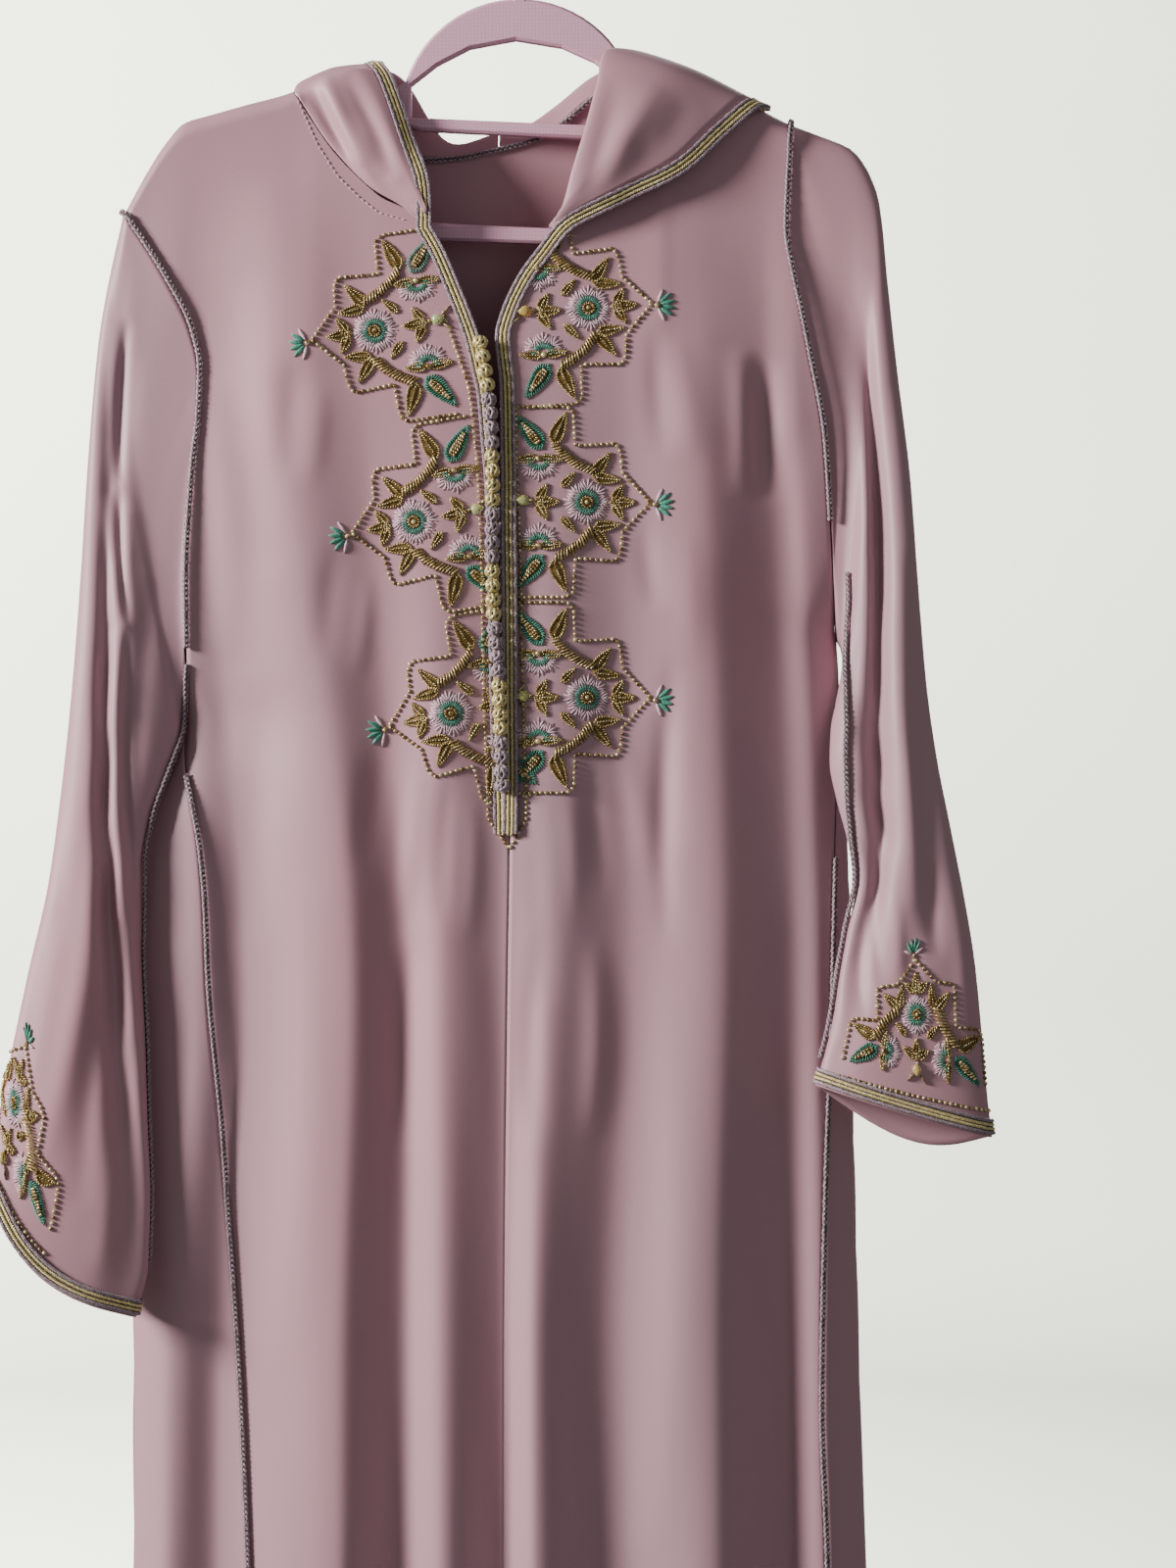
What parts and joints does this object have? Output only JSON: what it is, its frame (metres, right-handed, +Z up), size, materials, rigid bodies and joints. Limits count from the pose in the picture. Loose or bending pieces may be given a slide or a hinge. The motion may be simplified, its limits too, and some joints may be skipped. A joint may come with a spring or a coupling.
{
  "type": "djellaba on a hanger",
  "caption": "Long hooded robe in satin crepe hanging open-necked on a plastic hanger, with beaded floral panels, gold braid and a column of knotted buttons.",
  "frame": {"origin": "inside top of the hanger hook, in the hanger's middle plane", "axes": "+X to the wearer's left, +Y to the back, +Z up; the front faces -Y"},
  "size_m": [0.6077, 0.109, 1.508],
  "materials": {
    "crepe": "satin",
    "gold_braid": "metallic thread",
    "lilac_cord": "silk thread",
    "hanger_plastic": "fine honeycomb texture"
  },
  "bodies": {
    "root": {"hanger": "hanger_plastic", "front_right": "crepe", "front_left": "crepe", "back": "crepe", "sleeve_right": "crepe", "sleeve_left": "crepe", "hood_right": "crepe", "hood_left": "crepe", "placket_braid_right": "gold_braid", "placket_braid_left": "gold_braid", "hood_braid_right": "gold_braid", "hood_braid_left": "gold_braid", "cuff_braid_right": "gold_braid", "cuff_braid_left": "gold_braid", "armhole_cord_right": "lilac_cord", "armhole_cord_left": "lilac_cord", "side_cord_right": "lilac_cord", "side_cord_left": "lilac_cord", "underarm_cord_right": "lilac_cord", "underarm_cord_left": "lilac_cord", "neck_cord": "lilac_cord", "button_01": "gold_braid", "button_02": "gold_braid", "button_03": "gold_braid", "button_04": "gold_braid", "button_05": "lilac_cord", "button_06": "lilac_cord", "button_07": "lilac_cord", "button_08": "lilac_cord", "button_09": "gold_braid", "button_10": "gold_braid", "button_11": "gold_braid", "button_12": "gold_braid", "button_13": "lilac_cord", "button_14": "lilac_cord", "button_15": "lilac_cord", "button_16": "lilac_cord", "button_17": "gold_braid", "button_18": "gold_braid", "button_19": "gold_braid", "button_20": "gold_braid", "button_21": "lilac_cord", "button_22": "lilac_cord", "button_23": "lilac_cord", "button_24": "lilac_cord", "button_25": "gold_braid", "button_26": "gold_braid", "button_27": "gold_braid", "button_28": "gold_braid", "button_29": "lilac_cord", "button_30": "lilac_cord", "button_31": "lilac_cord", "button_32": "lilac_cord"}
  },
  "joints": []
}
